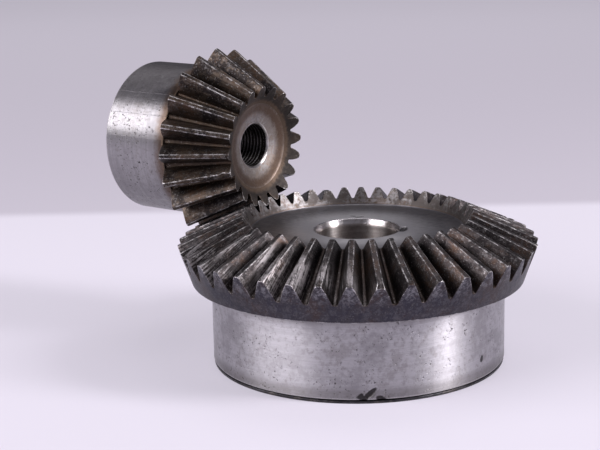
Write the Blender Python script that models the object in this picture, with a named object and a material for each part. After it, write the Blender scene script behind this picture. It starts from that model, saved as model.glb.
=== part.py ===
"""Straight bevel gear pair at a right angle: wheel, pinion and the shim ring under the wheel.

The wheel's axis is upright. The pinion's axis is level and runs along X. Both pitch cones share one
apex, on the wheel's axis at the height of the pinion's axis. Each gear is modelled round its own Z axis
with the apex at zero, and is then turned into place. A section point is a radius and a station, which
is the distance from the apex along the gear's axis. Lengths are in millimetres until a vertex is made.
"""
import bpy
import bmesh
from mathutils import Matrix
from math import acos, asin, atan, cos, pi, radians, sin, tan

MM = 0.001

# Tooth system: the pinion has the long addendum and the thick teeth.
MODULE = 3.0
WHEEL_TEETH = 40
PINION_TEETH = 20
PRESSURE_ANGLE = radians(25.0)
WHEEL_ADDENDUM = 2.1
PINION_ADDENDUM = 3.7
TIP_CLEARANCE = 1.3
FACE_WIDTH = 23.8
FLANK_THINNING = 0.08
FLANK_STEPS = 4
ROOT_FILLET = 0.45

# Placing.
WHEEL_AXIS_X = 13.95
APEX_HEIGHT = 69.15
RUNNING_GAP = 0.3

# Shim ring.
SHIM_THICKNESS = 0.9
SHIM_OUTER_RADIUS = 49.5
SHIM_INNER_RADIUS = 18.0
SHIM_EDGE = 0.15
SHIM_SEGMENTS = 96

# Wheel blank.
WHEEL_BACK_ANGLE = radians(20.0)
WHEEL_HUB_RADIUS = 49.7
WHEEL_HUB_CHAMFER = 0.5
WHEEL_HUB_FILLET = 0.8
WHEEL_RIM_RADIUS = 56.2
WHEEL_RIM_EDGE = 0.4
WHEEL_FACE_HEIGHT = 44.55
WHEEL_BORE_RADIUS = 13.7
WHEEL_BORE_CHAMFER = 2.0
WHEEL_MOUTH_FLARE = 0.9

# Pinion blank.
PINION_HUB_RADIUS = 26.7
PINION_HUB_FILLET = 0.9
PINION_BACK_STATION = 88.9
PINION_BACK_CHAMFER = 1.0
PINION_DISH_RADIUS = 14.5
PINION_DISH_DEPTH = 1.7
PINION_BORE_RADIUS = 7.4
PINION_MOUTH_CHAMFER = 0.5

SHARP_EDGE = radians(25.0)
ALONG = 0.0
ACROSS = pi / 2.0

WHEEL_CONE = atan(WHEEL_TEETH / PINION_TEETH)
PINION_CONE = pi / 2.0 - WHEEL_CONE
CONE_DISTANCE = MODULE * WHEEL_TEETH / (2.0 * sin(WHEEL_CONE))
THICKENING = (PINION_ADDENDUM - WHEEL_ADDENDUM) * tan(PRESSURE_ANGLE) / 2.0


def crossing(point_a, angle_a, point_b, angle_b):
    """Meeting point of two section lines, each through a point at an angle from the axis."""
    ax, ay = sin(angle_a), cos(angle_a)
    bx, by = sin(angle_b), cos(angle_b)
    span = ax * by - ay * bx
    reach = ((point_b[0] - point_a[0]) * by - (point_b[1] - point_a[1]) * bx) / span
    return (point_a[0] + reach * ax, point_a[1] + reach * ay)


def involute_turn(polar, base_cone):
    """Turn round the axis that a spherical involute gains between its base cone and a polar angle."""
    if polar <= base_cone:
        return 0.0
    roll = acos(cos(polar) / cos(base_cone))
    return roll / sin(base_cone) - atan(tan(roll) / sin(base_cone))


class Teeth:
    """Tooth shape of one gear: flanks are spherical involutes, ended by a heel cone and a toe cone."""

    def __init__(self, count, cone, back_angle, addendum, mate_addendum, thickening):
        self.count = count
        self.cone = cone
        self.base_cone = asin(sin(cone) * cos(PRESSURE_ANGLE))
        self.root_cone = cone - atan((mate_addendum + TIP_CLEARANCE) / CONE_DISTANCE)
        self.face_cone = cone + atan((addendum + TIP_CLEARANCE) / CONE_DISTANCE)
        heel = (CONE_DISTANCE * sin(cone), CONE_DISTANCE * cos(cone))
        toe_distance = CONE_DISTANCE - FACE_WIDTH
        toe = (toe_distance * sin(cone), toe_distance * cos(cone))
        self.ends = {"heel": (heel, -back_angle), "toe": (toe, cone - pi / 2.0)}
        self.crown = (heel[0] + addendum * cos(cone), heel[1] - addendum * sin(cone))
        self.half_tooth = pi / (2.0 * count) + (thickening - FLANK_THINNING) / heel[0]

    def on_cone(self, end, point, angle):
        """Where a section line meets the cone that ends the teeth."""
        return crossing(point, angle, *self.ends[end])

    def half_angle(self, polar):
        """Half of the angle that a tooth fills round the gear's axis, at a polar angle from the apex."""
        gained = involute_turn(polar, self.base_cone) - involute_turn(self.cone, self.base_cone)
        return self.half_tooth - gained

    def levels(self, end):
        """Tooth outline from root to tip: radius, station and half angle. The first one is the fillet's foot."""
        root = self.on_cone(end, (0.0, 0.0), self.root_cone)
        tip = self.on_cone(end, self.crown, self.face_cone)
        lowest = self.root_cone + ROOT_FILLET / CONE_DISTANCE
        highest = atan(tip[0] / tip[1])
        heel_root = self.on_cone("heel", (0.0, 0.0), self.root_cone)
        rows = [(root[0], root[1], self.half_angle(lowest) + ROOT_FILLET / heel_root[0])]
        for step in range(FLANK_STEPS + 1):
            polar = lowest + (highest - lowest) * step / FLANK_STEPS
            radius, station = self.on_cone(end, (0.0, 0.0), polar)
            rows.append((radius, station, self.half_angle(polar)))
        return rows


def vertex(work, radius, station, azimuth):
    return work.verts.new((radius * cos(azimuth) * MM, radius * sin(azimuth) * MM, station * MM))


def tooth_ends(work, teeth, end):
    """End faces of all teeth. Returns both outlines of each tooth, and the ring of verts round their feet."""
    rows = teeth.levels(end)
    root_radius, root_station, foot = rows[0]
    pitch = 2.0 * pi / teeth.count
    outlines = []
    ring = []
    for index in range(teeth.count):
        centre = pitch * index
        left = [vertex(work, radius, station, centre - half) for radius, station, half in rows]
        right = [vertex(work, radius, station, centre + half) for radius, station, half in rows]
        middle = vertex(work, root_radius, root_station, centre)
        gap = vertex(work, root_radius, root_station, centre + pitch / 2.0)
        work.faces.new((left[0], middle, left[1]))
        work.faces.new((middle, right[1], left[1]))
        work.faces.new((middle, right[0], right[1]))
        for level in range(1, len(rows) - 1):
            work.faces.new((left[level], right[level], right[level + 1], left[level + 1]))
        outlines.append((left, right))
        ring += [left[0], middle, right[0], gap]
    return outlines, ring


def tooth_sides(work, toe_outlines, heel_outlines):
    """Flanks and tip lands between the two ends, and the floor of the gap after each tooth."""
    count = len(toe_outlines)
    for index in range(count):
        for toe_side, heel_side in zip(toe_outlines[index], heel_outlines[index]):
            for level in range(len(toe_side) - 1):
                work.faces.new((toe_side[level], toe_side[level + 1], heel_side[level + 1], heel_side[level]))
        toe_left, toe_right = toe_outlines[index]
        heel_left, heel_right = heel_outlines[index]
        work.faces.new((toe_left[-1], toe_right[-1], heel_right[-1], heel_left[-1]))


def gap_floors(work, toe_ring, heel_ring):
    for here in range(len(toe_ring)):
        if here % 4 in (2, 3):
            after = (here + 1) % len(toe_ring)
            work.faces.new((toe_ring[here], toe_ring[after], heel_ring[after], heel_ring[here]))


def turn_profile(work, ring, profile):
    """Extrudes a ring of verts through the section points in turn, as turning the blank would leave it."""
    for radius, station in profile:
        edges = [work.edges.get((ring[here - 1], ring[here])) for here in range(len(ring))]
        made = bmesh.ops.extrude_edge_only(work, edges=edges)
        fresh = [item for item in made["geom"] if isinstance(item, bmesh.types.BMVert)]
        following = []
        for old in ring:
            twin = next(edge.other_vert(old) for edge in old.link_edges if edge.other_vert(old) in fresh)
            following.append(twin)
        for new in following:
            reach = radius * MM / new.co.xy.length
            new.co = (new.co.x * reach, new.co.y * reach, station * MM)
        ring = following
    return ring


def gear(name, teeth, profile, first_turn, place):
    """Closed gear: toothed ring first, then the blank's section from the toe round to the heel."""
    work = bmesh.new()
    toe_outlines, toe_ring = tooth_ends(work, teeth, "toe")
    heel_outlines, heel_ring = tooth_ends(work, teeth, "heel")
    tooth_sides(work, toe_outlines, heel_outlines)
    gap_floors(work, toe_ring, heel_ring)
    last_ring = turn_profile(work, toe_ring, profile)
    for here in range(len(last_ring)):
        work.faces.new((last_ring[here - 1], last_ring[here], heel_ring[here], heel_ring[here - 1]))
    bmesh.ops.rotate(work, verts=work.verts[:], matrix=Matrix.Rotation(first_turn, 3, "Z"))
    return solid(name, work, place)


def solid(name, work, place):
    """Object from a closed surface, triangulated, with its faces pointing out."""
    bmesh.ops.triangulate(work, faces=work.faces[:])
    bmesh.ops.recalc_face_normals(work, faces=work.faces[:])
    mesh = bpy.data.meshes.new(name)
    work.to_mesh(mesh)
    work.free()
    mesh.shade_smooth()
    mesh.set_sharp_from_angle(angle=SHARP_EDGE)
    thing = bpy.data.objects.new(name, mesh)
    bpy.context.scene.collection.objects.link(thing)
    thing.matrix_world = place
    return thing


def make_wheel():
    """The wheel's own axis points down from the apex, so its hub stands on the shim ring."""
    teeth = Teeth(WHEEL_TEETH, WHEEL_CONE, WHEEL_BACK_ANGLE, WHEEL_ADDENDUM, PINION_ADDENDUM, -THICKENING)
    face = APEX_HEIGHT - WHEEL_FACE_HEIGHT
    floor = APEX_HEIGHT - SHIM_THICKNESS - RUNNING_GAP
    rim = teeth.on_cone("heel", (WHEEL_RIM_RADIUS, 0.0), ALONG)
    under = rim[1] + WHEEL_RIM_EDGE
    mouth = WHEEL_BORE_RADIUS + WHEEL_MOUTH_FLARE
    profile = [
        teeth.on_cone("toe", (0.0, face), ACROSS),
        (mouth, face),
        (WHEEL_BORE_RADIUS, face + WHEEL_BORE_CHAMFER),
        (WHEEL_BORE_RADIUS, floor - WHEEL_BORE_CHAMFER),
        (mouth, floor),
        (WHEEL_HUB_RADIUS - WHEEL_HUB_CHAMFER, floor),
        (WHEEL_HUB_RADIUS, floor - WHEEL_HUB_CHAMFER),
        (WHEEL_HUB_RADIUS, under + WHEEL_HUB_FILLET),
        (WHEEL_HUB_RADIUS + WHEEL_HUB_FILLET, under),
        (WHEEL_RIM_RADIUS - WHEEL_RIM_EDGE, under),
        rim,
    ]
    place = Matrix.Translation((WHEEL_AXIS_X * MM, 0.0, APEX_HEIGHT * MM)) @ Matrix.Rotation(pi, 4, "X")
    return gear("wheel", teeth, profile, pi / WHEEL_TEETH, place)


def make_pinion():
    """The pinion's own axis points along -X from the apex. One tooth points straight down into a gap."""
    teeth = Teeth(PINION_TEETH, PINION_CONE, WHEEL_CONE, PINION_ADDENDUM, WHEEL_ADDENDUM, THICKENING)
    dish = teeth.on_cone("toe", (PINION_DISH_RADIUS, 0.0), ALONG)
    floor = dish[1] + PINION_DISH_DEPTH
    shoulder = teeth.on_cone("heel", (PINION_HUB_RADIUS - PINION_HUB_FILLET, 0.0), ALONG)
    profile = [
        dish,
        (PINION_BORE_RADIUS + PINION_MOUTH_CHAMFER, floor),
        (PINION_BORE_RADIUS, floor + PINION_MOUTH_CHAMFER),
        (PINION_BORE_RADIUS, PINION_BACK_STATION - PINION_BACK_CHAMFER),
        (PINION_BORE_RADIUS + PINION_BACK_CHAMFER, PINION_BACK_STATION),
        (PINION_HUB_RADIUS - PINION_BACK_CHAMFER, PINION_BACK_STATION),
        (PINION_HUB_RADIUS, PINION_BACK_STATION - PINION_BACK_CHAMFER),
        (PINION_HUB_RADIUS, shoulder[1] + PINION_HUB_FILLET),
        shoulder,
    ]
    place = Matrix.Translation((WHEEL_AXIS_X * MM, 0.0, APEX_HEIGHT * MM)) @ Matrix.Rotation(-pi / 2.0, 4, "Y")
    return gear("pinion", teeth, profile, 0.0, place)


def make_shim():
    """Flat ring: a circle at its inner foot, extruded round the ring's section and closed on itself."""
    work = bmesh.new()
    made = bmesh.ops.create_circle(work, segments=SHIM_SEGMENTS, radius=SHIM_INNER_RADIUS * MM)
    first_ring = made["verts"]
    section = [
        (SHIM_OUTER_RADIUS - SHIM_EDGE, 0.0),
        (SHIM_OUTER_RADIUS, SHIM_EDGE),
        (SHIM_OUTER_RADIUS, SHIM_THICKNESS - SHIM_EDGE),
        (SHIM_OUTER_RADIUS - SHIM_EDGE, SHIM_THICKNESS),
        (SHIM_INNER_RADIUS, SHIM_THICKNESS),
    ]
    last_ring = turn_profile(work, first_ring, section)
    for here in range(SHIM_SEGMENTS):
        work.faces.new((last_ring[here - 1], last_ring[here], first_ring[here], first_ring[here - 1]))
    return solid("shim_ring", work, Matrix.Translation((WHEEL_AXIS_X * MM, 0.0, 0.0)))


def steel(name, colour, roughness):
    material = bpy.data.materials.new(name)
    material.use_nodes = True
    shader = material.node_tree.nodes["Principled BSDF"]
    shader.inputs["Base Color"].default_value = colour
    shader.inputs["Metallic"].default_value = 1.0
    shader.inputs["Roughness"].default_value = roughness
    return material


for old in list(bpy.data.objects):
    bpy.data.objects.remove(old)

make_wheel().data.materials.append(steel("wheel_steel", (0.30, 0.29, 0.29, 1.0), 0.38))
make_pinion().data.materials.append(steel("pinion_steel", (0.27, 0.25, 0.24, 1.0), 0.40))
make_shim().data.materials.append(steel("shim_steel", (0.07, 0.07, 0.075, 1.0), 0.55))
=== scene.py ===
"""Looks of a straight bevel gear pair: worn steel wheel and pinion on a thin shim ring, on a pale table.

Each gear is one closed mesh, modelled round its own Z axis with the shared cone apex at zero, and is then
turned into its place in the frame. A section point is a radius and a station, which is the distance from
the apex along the gear's axis. A tooth outline is given as a distance across from the tooth's middle and a
height above the root cone, and is carried from the toe to the heel along rays from the apex.
Section and outline lengths are in millimetres.
"""
from collections import namedtuple
from math import asin, atan, cos, pi, radians, sin, tan

import bpy
import numpy as np
from mathutils import Matrix, Vector


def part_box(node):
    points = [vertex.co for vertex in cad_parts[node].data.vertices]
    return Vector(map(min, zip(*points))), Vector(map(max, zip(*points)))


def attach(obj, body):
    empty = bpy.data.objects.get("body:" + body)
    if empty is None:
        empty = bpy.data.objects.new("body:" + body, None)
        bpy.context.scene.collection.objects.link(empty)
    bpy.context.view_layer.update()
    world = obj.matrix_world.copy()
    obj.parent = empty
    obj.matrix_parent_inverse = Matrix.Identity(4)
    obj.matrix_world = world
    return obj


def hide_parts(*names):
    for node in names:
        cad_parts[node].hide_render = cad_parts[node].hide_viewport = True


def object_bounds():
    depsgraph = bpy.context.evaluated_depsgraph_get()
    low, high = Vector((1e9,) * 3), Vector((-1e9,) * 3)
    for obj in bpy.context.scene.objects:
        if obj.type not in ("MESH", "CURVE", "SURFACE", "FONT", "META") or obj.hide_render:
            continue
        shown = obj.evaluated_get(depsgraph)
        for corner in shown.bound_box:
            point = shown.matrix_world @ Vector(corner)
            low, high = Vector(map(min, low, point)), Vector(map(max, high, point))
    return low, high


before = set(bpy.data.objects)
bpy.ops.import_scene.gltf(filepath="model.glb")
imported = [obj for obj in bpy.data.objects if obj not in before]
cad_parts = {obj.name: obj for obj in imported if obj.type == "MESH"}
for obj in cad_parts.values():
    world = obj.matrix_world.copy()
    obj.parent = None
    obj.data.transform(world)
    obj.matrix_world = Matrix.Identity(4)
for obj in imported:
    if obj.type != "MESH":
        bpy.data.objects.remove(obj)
CAD_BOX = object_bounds()
MM = 0.001

# Where the frame puts the gears: the wheel's axis is upright, the pinion's is level along X.
WHEEL_LOW, WHEEL_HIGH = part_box("wheel")
PINION_LOW, PINION_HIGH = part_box("pinion")
SHIM_LOW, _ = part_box("shim_ring")
AXIS_X = (WHEEL_LOW.x + WHEEL_HIGH.x) / 2.0
APEX_Z = (PINION_LOW.z + PINION_HIGH.z) / 2.0
APEX = Vector((AXIS_X, 0.0, APEX_Z))

# Tooth system, as in the frame.
MODULE = 3.0
WHEEL_TEETH = 40
PINION_TEETH = 20
PRESSURE_ANGLE = radians(25.0)
WHEEL_ADDENDUM = 2.1
PINION_ADDENDUM = 3.7
TIP_CLEARANCE = 1.3
FACE_WIDTH = 23.8
FLANK_THINNING = 0.08
WHEEL_CONE = atan(WHEEL_TEETH / PINION_TEETH)
PINION_CONE = pi / 2.0 - WHEEL_CONE
CONE_DISTANCE = MODULE * WHEEL_TEETH / (2.0 * sin(WHEEL_CONE))
THICKENING = (PINION_ADDENDUM - WHEEL_ADDENDUM) * tan(PRESSURE_ANGLE) / 2.0

# Wheel blank.
WHEEL_BACK_ANGLE = radians(20.0)
WHEEL_HUB_RADIUS = 49.7
WHEEL_RIM_RADIUS = 56.2
WHEEL_FACE_STATION = 24.6
WHEEL_BORE_RADIUS = 13.7
WHEEL_MOUTH_FLARE = 0.9
WHEEL_BORE_CHAMFER = 2.0
WHEEL_FILLET = 0.62
WHEEL_FLOOR_STATION = (APEX_Z - WHEEL_LOW.z) / MM

# Pinion blank.
PINION_HUB_RADIUS = 26.7
PINION_BACK_STATION = (AXIS_X - PINION_LOW.x) / MM
PINION_DISH_RADIUS = 14.5
PINION_DISH_DEPTH = 1.7
PINION_BORE_RADIUS = 7.4
PINION_FILLET = 0.85
PINION_GROOVE_PITCH = 1.4
PINION_GROOVE_DEPTH = 0.12
PINION_GROOVE_STEPS = 6

# Mesh fineness.
FILLET_STEPS = 4
FLANK_SHARES = (0.03, 0.12, 0.30, 0.50, 0.70, 0.88, 0.97)
CORNER_STEPS = 4
LAND_SHARES = (0.12, 0.32, 0.50, 0.68, 0.88)
FLOOR_STEPS = 2
TOOTH_ROWS = 44
END_ROUNDING = 0.13
END_ANGLES = (90.0, 60.0, 30.0, 0.0)
HOLD = 0.1
ARC_STEPS = 5
BLANK_STEP = 1.3

# Points of a tooth outline, counted from the left: feet of the flanks and ends of the tip land.
SIDE_POINTS = FILLET_STEPS + 1 + len(FLANK_SHARES) + CORNER_STEPS + 1
LEFT_FOOT = FLOOR_STEPS
LEFT_TIP = LEFT_FOOT + SIDE_POINTS - 1
RIGHT_TIP = LEFT_TIP + len(LAND_SHARES) + 1
RIGHT_FOOT = RIGHT_TIP + SIDE_POINTS - 1

# Worn tooth tips: what the land has lost, how large its corners are, and the reach of the ends' extra wear.
TIP_LOSS = 0.03
TIP_RIPPLE = 0.03
TIP_LOSS_AT_ENDS = 0.07
CORNER_SIZE = 0.26
CORNER_GRAIN = 0.09
CORNER_SWELL = 0.08
CORNER_AT_ENDS = 0.22
CORNER_LEAST = 0.10
CORNER_MOST_SHARE = 0.72
END_FADE = 0.7

# Bright wear on the surface: how far it reaches from an edge, and how much of it there is.
CORNER_WEAR_REACH = 0.30
END_WEAR = 0.80
FACE_WEAR = 0.85
FACE_WEAR_REACH = 0.35
LAND_WEAR = 0.20
TONE_STEP = 17.3
LAY_PER_RADIAN = 30.0

ALONG = 0.0
ACROSS = pi / 2.0


def crossing(point_a, angle_a, point_b, angle_b):
    """Meeting point of two section lines, each through a point at an angle from the axis."""
    ax, ay = np.sin(angle_a), np.cos(angle_a)
    bx, by = np.sin(angle_b), np.cos(angle_b)
    span = ax * by - ay * bx
    reach = ((point_b[0] - point_a[0]) * by - (point_b[1] - point_a[1]) * bx) / span
    return point_a[0] + reach * ax, point_a[1] + reach * ay


def involute_turn(polar, base_cone):
    """Turn round the axis that a spherical involute gains between its base cone and a polar angle."""
    roll = np.arccos(np.clip(np.cos(np.maximum(polar, base_cone)) / cos(base_cone), -1.0, 1.0))
    return roll / sin(base_cone) - np.arctan(np.tan(roll) / sin(base_cone))


def waves(values, seed, octaves=3):
    """Smooth repeatable noise between -1 and 1 along one coordinate, different for each seed."""
    total = np.zeros(np.broadcast(values, seed).shape)
    weight = 1.0
    for octave in range(octaves):
        pace = 1.7 ** octave
        total += weight * np.sin(values * pace + seed * 12.9898 + octave * 4.1)
        total += weight * np.sin(values * pace * 0.618 + seed * 78.233 + octave * 1.7)
        weight *= 0.6
    return total / (2.0 * sum(0.6 ** octave for octave in range(octaves)))


class Teeth:
    """Tooth shape of one gear: flanks are spherical involutes, ended by a heel cone and a toe cone."""

    def __init__(self, count, cone, back_angle, addendum, mate_addendum, thickening):
        self.count = count
        self.cone = cone
        self.base_cone = asin(sin(cone) * cos(PRESSURE_ANGLE))
        self.root_cone = cone - atan((mate_addendum + TIP_CLEARANCE) / CONE_DISTANCE)
        self.face_cone = cone + atan((addendum + TIP_CLEARANCE) / CONE_DISTANCE)
        self.back_angle = back_angle
        self.heel_radius = CONE_DISTANCE * sin(cone)
        self.half_tooth = pi / (2.0 * count) + (thickening - FLANK_THINNING) / self.heel_radius
        crown_station = CONE_DISTANCE * cos(cone) - addendum * sin(cone)
        self.crown = (self.heel_radius + addendum * cos(cone), crown_station)

    def row_cone(self, share):
        """Pitch point and section angle of the cone that holds a row, from the toe at 0 to the heel at 1."""
        distance = CONE_DISTANCE - FACE_WIDTH * (1.0 - share)
        toe_angle = self.cone - pi / 2.0
        angle = toe_angle + (-self.back_angle - toe_angle) * share
        return (distance * sin(self.cone), distance * cos(self.cone)), angle

    def reach(self, share):
        return CONE_DISTANCE - FACE_WIDTH * (1.0 - share)

    def section_point(self, share, height):
        """Radius and station of a height above the root cone, on the cone of a row."""
        polar = self.root_cone + height / self.reach(share)
        return crossing((0.0, 0.0), polar, *self.row_cone(share))

    def flank(self, share, height):
        """Distance from the tooth's middle to its flank at a height above the root cone."""
        polar = self.root_cone + height / self.reach(share)
        gained = involute_turn(polar, self.base_cone) - involute_turn(self.cone, self.base_cone)
        radius, _ = self.section_point(share, height)
        return (self.half_tooth - gained) * radius

    def land_height(self, share):
        """Height of the tip land above the root cone. The face cone's line isn't aimed at the apex."""
        tip = crossing(self.crown, self.face_cone, *self.row_cone(share))
        return (np.arctan2(*tip) - self.root_cone) * self.reach(share)


def bend(start, middle, end, steps):
    """Points of a rounded corner, both ends included, as arrays on a new last axis."""
    shares = np.linspace(0.0, 1.0, steps + 1)
    parts = ((1.0 - shares) ** 2, 2.0 * shares * (1.0 - shares), shares ** 2)
    return [sum(part * np.asarray(value[axis])[..., None] for part, value in zip(parts, (start, middle, end)))
            for axis in (0, 1)]


def side_outline(teeth, share, fillet, corner, top):
    """One side of a tooth, from the foot of its fillet to its tip land: across and height."""
    zero = np.zeros(top.shape)
    foot = teeth.flank(share, zero)
    fillet = fillet + zero
    low = bend((foot + fillet, zero), (foot, zero), (teeth.flank(share, fillet), fillet), FILLET_STEPS)
    heights = fillet[..., None] + (top - corner - fillet)[..., None] * np.array(FLANK_SHARES)
    middle = [teeth.flank(share[..., None], heights), heights]
    under = top - corner
    peak = teeth.flank(share, top)
    high = bend((teeth.flank(share, under), under), (peak, top), (peak - corner, top), CORNER_STEPS)
    return [np.concatenate((low[axis], middle[axis], high[axis]), axis=-1) for axis in (0, 1)]


def tooth_outline(teeth, share, fillet, corners, top):
    """Whole outline of a tooth from one gap's middle to the next: across and height, last axis."""
    left = side_outline(teeth, share, fillet, corners[0], top)
    right = side_outline(teeth, share, fillet, corners[1], top)
    land = np.array(LAND_SHARES)
    land_across = -left[0][..., -1:] * (1.0 - land) + right[0][..., -1:] * land
    land_height = left[1][..., -1:] * (1.0 - land) + right[1][..., -1:] * land
    root_radius, _ = teeth.section_point(share, np.zeros(top.shape))
    half_pitch = (pi / teeth.count * root_radius)[..., None]
    steps = np.arange(FLOOR_STEPS) / FLOOR_STEPS
    floor_left = -half_pitch * (1.0 - steps) - left[0][..., :1] * steps
    floor_right = right[0][..., :1] * (1.0 - steps[1:]) + half_pitch * steps[1:]
    across = [floor_left, -left[0], land_across, right[0][..., ::-1], floor_right, half_pitch]
    floor_height = 0.0 * floor_left, 0.0 * floor_right
    height = [floor_height[0], left[1], land_height, right[1][..., ::-1], floor_height[1], 0.0 * half_pitch]
    return np.concatenate(across, axis=-1), np.concatenate(height, axis=-1)


def sink(across, height, depth):
    """Outline moved into the metal by a depth."""
    run, rise = np.gradient(across, axis=-1), np.gradient(height, axis=-1)
    rise[..., 0] = rise[..., -1] = 0.0
    length = np.hypot(run, rise)
    return across + depth * rise / length, height - depth * run / length


def row_places():
    """Distances from the toe and end roundings of the rows: share of the face width and sinking depth."""
    near = []
    for angle in END_ANGLES:
        distance = END_ROUNDING * (1.0 - sin(radians(angle)))
        near.append((distance / FACE_WIDTH, END_ROUNDING * (1.0 - cos(radians(angle)))))
    near.append(((END_ROUNDING + HOLD) / FACE_WIDTH, 0.0))
    first, last = near[-1][0], 1.0 - near[-1][0]
    middle = [(first + (last - first) * step / TOOTH_ROWS, 0.0) for step in range(1, TOOTH_ROWS)]
    far = [(1.0 - share, depth) for share, depth in reversed(near)]
    places = near + middle + far
    return np.array([place[0] for place in places]), np.array([place[1] for place in places])


# A local mark on a tooth tip: which tooth, where along it, how long and how deep.
Blemish = namedtuple("Blemish", "tooth share length depth")


def tip_wear(teeth, shares, seed, wear, blemishes):
    """Corner sizes on both sides and land height, for every tooth and row. wear scales all of it."""
    chance = np.random.RandomState(seed)
    count = teeth.count
    tooth = np.arange(count)[:, None]
    along = shares[None, :] * FACE_WIDTH
    top = teeth.land_height(shares)[None, :] + np.zeros((count, 1))
    ends = np.exp(-along / END_FADE) + np.exp(-(FACE_WIDTH - along) / END_FADE)
    top = top - wear * (TIP_LOSS + TIP_RIPPLE * waves(along * 0.9, tooth + seed) + TIP_LOSS_AT_ENDS * ends)
    corners = []
    for side in (0, 1):
        grain = CORNER_GRAIN * waves(along * 2.3, tooth + 0.5 * side + seed, 4)
        swell = CORNER_SWELL * waves(along * 0.35, tooth * 1.7 + side + seed, 2)
        corners.append(wear * (CORNER_SIZE + grain + swell + CORNER_AT_ENDS * ends))
    for index in range(count):
        for _ in range(chance.randint(3, 8)):
            spot, length = chance.uniform(0.0, 1.0) * FACE_WIDTH, chance.uniform(0.25, 0.9)
            depth, side = chance.uniform(0.08, 0.34) * wear, chance.randint(0, 2)
            corners[side][index] += depth * np.exp(-((along[0] - spot) / length) ** 2)
    for mark in blemishes:
        shape = np.exp(-np.abs((along[0] - mark.share * FACE_WIDTH) / mark.length) ** 3)
        top[mark.tooth] -= mark.depth * shape
    limit = CORNER_MOST_SHARE * teeth.flank(shares[None, :] + 0.0 * top, top)
    corners = [np.clip(corner, CORNER_LEAST, limit) for corner in corners]
    return corners, top


def round_section(corners, step):
    """Section line through (radius, station, rounding, surface) corners, rounded and evenly divided.

    The surface of a corner names the stretch that follows it. Returns points and the surface of each span.
    """
    points, surfaces = [], []
    count = len(corners)
    for index in range(count):
        here = np.array(corners[index][:2])
        rounding, surface = corners[index][2], corners[index][3]
        if rounding > 0.0 and 0 < index < count - 1:
            before, after = np.array(corners[index - 1][:2]), np.array(corners[index + 1][:2])
            into = (before - here) / np.linalg.norm(before - here)
            out = (after - here) / np.linalg.norm(after - here)
            start, end = here + into * rounding, here + out * rounding
            arc = bend(start, here, end, ARC_STEPS)
            held = here + into * (rounding + HOLD), here + out * (rounding + HOLD)
            arc = [held[0], *np.stack(arc, axis=-1), held[1]]
            owners = [corners[index - 1][3]] + [surface] * (len(arc) - 1)
        else:
            arc, owners = [here], [surface]
        if points:
            gap = arc[0] - points[-1]
            pieces = max(1, int(np.ceil(np.linalg.norm(gap) / step)))
            start = points[-1]
            for piece in range(1, pieces):
                points.append(start + gap * piece / pieces)
                surfaces.append(corners[index - 1][3])
        points += arc
        surfaces += owners
    return np.array(points), surfaces


class GearMesh:
    """Vertices, faces and surface values of one gear, gathered part by part."""

    def __init__(self):
        self.points, self.values, self.faces, self.surfaces = [], [], [], []
        self.total = 0

    def add(self, points, values):
        """Adds points with their values (tooth height, wear, lay x3) and returns their indices."""
        shape = points.shape[:-1]
        indices = self.total + np.arange(int(np.prod(shape))).reshape(shape)
        self.points.append(points.reshape(-1, 3))
        self.values.append(np.broadcast_to(values, shape + (values.shape[-1],)).reshape(-1, values.shape[-1]))
        self.total += indices.size
        return indices

    def skin(self, grid, surface, closed=False):
        """Quads between neighbouring rows and columns of an index grid."""
        after = np.roll(grid, -1, axis=1) if closed else grid[:, 1:]
        before = grid if closed else grid[:, :-1]
        quads = np.stack((before[:-1], after[:-1], after[1:], before[1:]), axis=-1).reshape(-1, 4)
        self.faces.append(quads)
        names = [surface] * len(quads) if isinstance(surface, str) else np.repeat(surface, before.shape[1])
        self.surfaces += list(names)


def ring_points(radius, station, azimuth):
    radius, station, azimuth = np.broadcast_arrays(radius, station, azimuth)
    return np.stack((radius * np.cos(azimuth), radius * np.sin(azimuth), station), axis=-1)


def values_of(height, wear, lay_u, lay_v, lay_w):
    return np.stack(np.broadcast_arrays(height, wear, lay_u, lay_v, lay_w), axis=-1)


class Dent:
    """A knock in the surface, in the frame: its middle, long direction, way in, half sizes and depth."""

    def __init__(self, middle, along, inward, long, wide, depth):
        self.middle, self.inward = Vector(middle) * MM, Vector(inward).normalized()
        self.along = Vector(along).normalized()
        self.across = self.along.cross(self.inward)
        self.long, self.wide, self.depth = long * MM, wide * MM, depth * MM


def press(points, dents):
    """Pushes points into the metal at the dents, and tells how deep in a dent each point is, from 0 to 1."""
    knock = np.zeros(len(points))
    for dent in dents:
        offset = points - np.array(dent.middle)
        run = offset @ np.array(dent.along) / dent.long
        side = offset @ np.array(dent.across) / dent.wide
        near = np.abs(offset @ np.array(dent.inward)) < 2.0 * MM
        inside = np.exp(-(run ** 2 + side ** 2) ** 2) * near
        knock = np.maximum(knock, inside)
        points = points + (dent.depth * inside)[:, None] * np.array(dent.inward)
    return points, knock


def gathered(azimuth, middle):
    """Azimuths drawn closer together round a middle, so that a small dent there has enough points."""
    offset = (azimuth - middle + pi) % (2.0 * pi) - pi
    return azimuth - 0.6 * offset * np.exp(-(offset / radians(14.0)) ** 2)


def between(line, left, right):
    """Values between two columns of an outline, divided as the tip land is."""
    weight = np.array(LAND_SHARES)
    return line[:, left, None] * (1.0 - weight) + line[:, right, None] * weight


def high_on_tooth(level):
    """Wear is full at the tip of a tooth and a quarter of that at its root."""
    return 0.25 + 0.75 * level


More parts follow.
